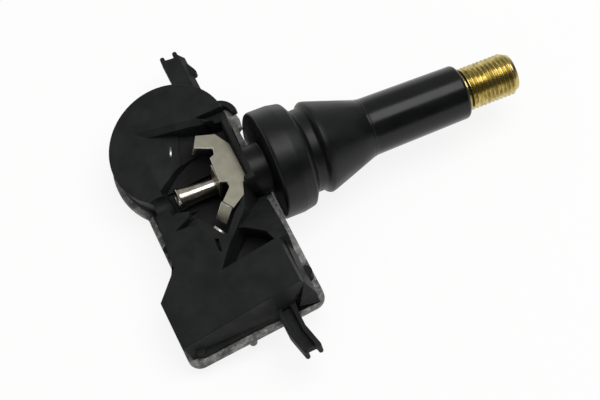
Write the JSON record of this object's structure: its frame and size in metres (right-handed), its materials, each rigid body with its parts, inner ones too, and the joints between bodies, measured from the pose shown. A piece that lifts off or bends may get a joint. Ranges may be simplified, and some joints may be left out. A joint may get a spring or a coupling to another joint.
{
  "type": "tyre pressure sensor",
  "caption": "Snap-in tyre pressure sensor: a rubber valve with a brass stem, and an angled black housing held on the valve's tube by a steel clip.",
  "frame": {"origin": "centre of the rubber groove that the rim's hole edge sits in, on the valve's axis", "axes": "+X along the valve towards its tip, outside the wheel; +Y across the valve along the housing to its battery end; +Z from the rim's well towards the tyre"},
  "size_m": [0.0742, 0.0637, 0.0196],
  "materials": {
    "housing_black": "matte, fine moulded grain",
    "cover_grey": "matte, cast potting edge",
    "valve_rubber": "satin",
    "brass": "turned",
    "nickel": "plated",
    "spring_steel": "stamped, bright cut edges",
    "core_seal_rubber": "matte",
    "gasket_white": "smooth",
    "board_green": "solder mask",
    "chip_black": "matte",
    "ferrite": "matte",
    "copper": "enamelled wire",
    "capacitor_tan": "satin",
    "filter_white": "matte"
  },
  "bodies": {
    "sensor": {"housing": "housing_black", "back_cover": "cover_grey", "retaining_clip": "spring_steel", "valve_rubber": "valve_rubber", "valve_stem": "brass", "valve_tube": "nickel", "core_barrel": "brass", "core_gasket": "gasket_white", "core_spring": "spring_steel", "circuit_board": "board_green", "battery_cell": "nickel", "battery_tab_positive": "nickel", "battery_tab_negative": "nickel", "sensor_chip": "chip_black", "port_filter": "filter_white", "coil_core": "ferrite", "coil_winding": "copper", "crystal": "nickel", "capacitors": "capacitor_tan"},
    "valve_pin": {"core_pin": "brass", "core_seal": "core_seal_rubber", "core_cup": "brass"}
  },
  "joints": [
    {"name": "pin_press", "type": "slide", "parent": "sensor", "child": "valve_pin", "axis": [1, 0, 0], "range_m": [-0.0012, 0], "stiffness_N_per_m": 2000, "springref_m": 0.0015, "deforming": ["core_spring"]}
  ]
}
